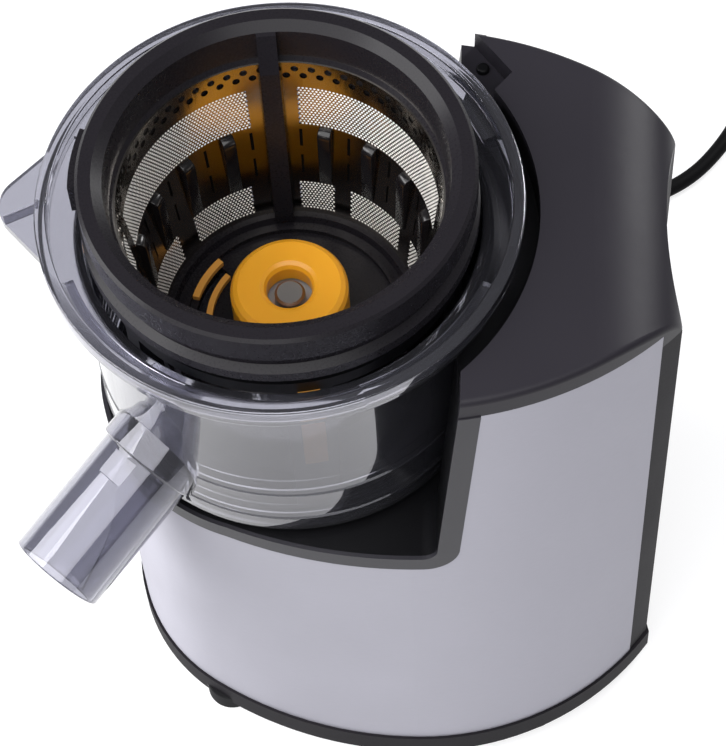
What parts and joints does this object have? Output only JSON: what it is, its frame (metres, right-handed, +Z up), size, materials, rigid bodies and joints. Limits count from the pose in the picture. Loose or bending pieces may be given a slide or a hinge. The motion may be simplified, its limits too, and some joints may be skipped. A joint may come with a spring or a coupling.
{
  "type": "cold press juicer",
  "caption": "Cold press juicer base with a bay that holds a clear bowl and slanting spout; in the bowl a wiper basket and steel strainer stand round the drive shaft; cord behind.",
  "frame": {"origin": "on the table, under the middle of the juicer's box without its cord", "axes": "+Z up, +X towards the waisted right end, +Y towards the rear, where the cord leaves"},
  "size_m": [0.3369, 0.363, 0.262],
  "materials": {
    "steel": "satin brushed sheet",
    "black_plastic": "fine satin texture",
    "grey_plastic": "satin",
    "clear_plastic": "clear, faintly smoky",
    "rubber": "matt",
    "orange_plastic": "semi-gloss",
    "orange_silicone": "soft matt",
    "polished_steel": "polished, perforated",
    "machined_steel": "turned",
    "bronze": "sintered",
    "nylon": "natural",
    "copper": "enamelled windings",
    "board": "laminate",
    "silicone": "translucent"
  },
  "bodies": {
    "base": {"base_pan": "black_plastic", "foot_1": "rubber", "foot_2": "rubber", "foot_3": "rubber", "foot_4": "rubber", "pan_screws": "machined_steel", "steel_wrap": "steel", "body_shell": "black_plastic", "end_panel": "black_plastic", "top_cover": "black_plastic", "bay_liner": "black_plastic", "bay_trim": "grey_plastic", "bay_seal": "rubber", "idler_pin": "machined_steel", "gearbox_case": "nylon", "gearbox_cover": "nylon", "case_screws": "machined_steel", "shaft_bush": "bronze", "motor_can": "machined_steel", "motor_stator": "copper", "control_board": "board", "board_parts": "black_plastic", "board_screws": "machined_steel", "switch_body": "black_plastic", "lid_switch": "black_plastic", "cord_relief": "rubber", "power_cord": "rubber", "cord_coil": "rubber", "coil_tie": "rubber", "cord_tail": "rubber", "power_plug": "rubber", "plug_pins": "machined_steel"},
    "motor_shaft": {"motor_rotor": "machined_steel", "motor_pinion": "machined_steel", "cooling_fan": "nylon"},
    "idler": {"idler_gear": "nylon"},
    "drive": {"output_gear": "machined_steel", "drive_shaft": "machined_steel"},
    "rocker": {"switch_rocker": "black_plastic"},
    "lid_rod": {"lid_rod": "grey_plastic"},
    "bowl": {"bowl": "clear_plastic", "bowl_sole": "clear_plastic", "bowl_spigot": "clear_plastic", "bowl_rim": "clear_plastic", "outlet_tube": "clear_plastic", "bowl_seal": "silicone"},
    "wiper": {"brush_frame": "black_plastic", "brush_blade_1": "orange_silicone", "brush_blade_2": "orange_silicone", "brush_blade_3": "orange_silicone"},
    "strainer": {"strainer_ring": "black_plastic", "strainer_cone": "polished_steel", "strainer_frame": "black_plastic", "strainer_plate": "black_plastic", "strainer_post": "black_plastic", "rear_rib": "grey_plastic", "pulp_seal": "orange_silicone", "hub_cap": "orange_plastic"}
  },
  "joints": [
    {"name": "drive_spin", "type": "hinge", "parent": "base", "child": "drive", "pos_m": [-0.01779, 0.00652, 0.113], "axis": [0, 0, 1], "continuous": true},
    {"name": "idler_spin", "type": "hinge", "parent": "base", "child": "idler", "pos_m": [0.01731, 0.01971, 0.105], "axis": [0, 0, 1], "continuous": true},
    {"name": "motor_spin", "type": "hinge", "parent": "base", "child": "motor_shaft", "pos_m": [0.0482, 0.00652, 0.06], "axis": [0, 0, 1], "continuous": true},
    {"name": "power_rock", "type": "hinge", "parent": "base", "child": "rocker", "pos_m": [0.0952, 0.00652, 0.122], "axis": [0, 1, 0], "range_deg": [-8, 8]},
    {"name": "lid_rod_press", "type": "slide", "parent": "base", "child": "lid_rod", "axis": [0, 0, 1], "range_m": [-0.0015, 0], "stiffness_N_per_m": 150, "springref_m": 0.0005},
    {"name": "bowl_lift", "type": "slide", "parent": "base", "child": "bowl", "axis": [0, 0, 1], "range_m": [0, 0.12]},
    {"name": "wiper_spin", "type": "hinge", "parent": "bowl", "child": "wiper", "pos_m": [-0.01779, 0.00652, 0.19], "axis": [0, 0, 1], "continuous": true},
    {"name": "strainer_lift", "type": "slide", "parent": "bowl", "child": "strainer", "axis": [0, 0, 1], "range_m": [0, 0.115]}
  ],
  "couplings": [
    {"joint": "idler_spin", "follows": "drive_spin", "ratio": -3.2857},
    {"joint": "motor_spin", "follows": "drive_spin", "ratio": 16.429}
  ]
}
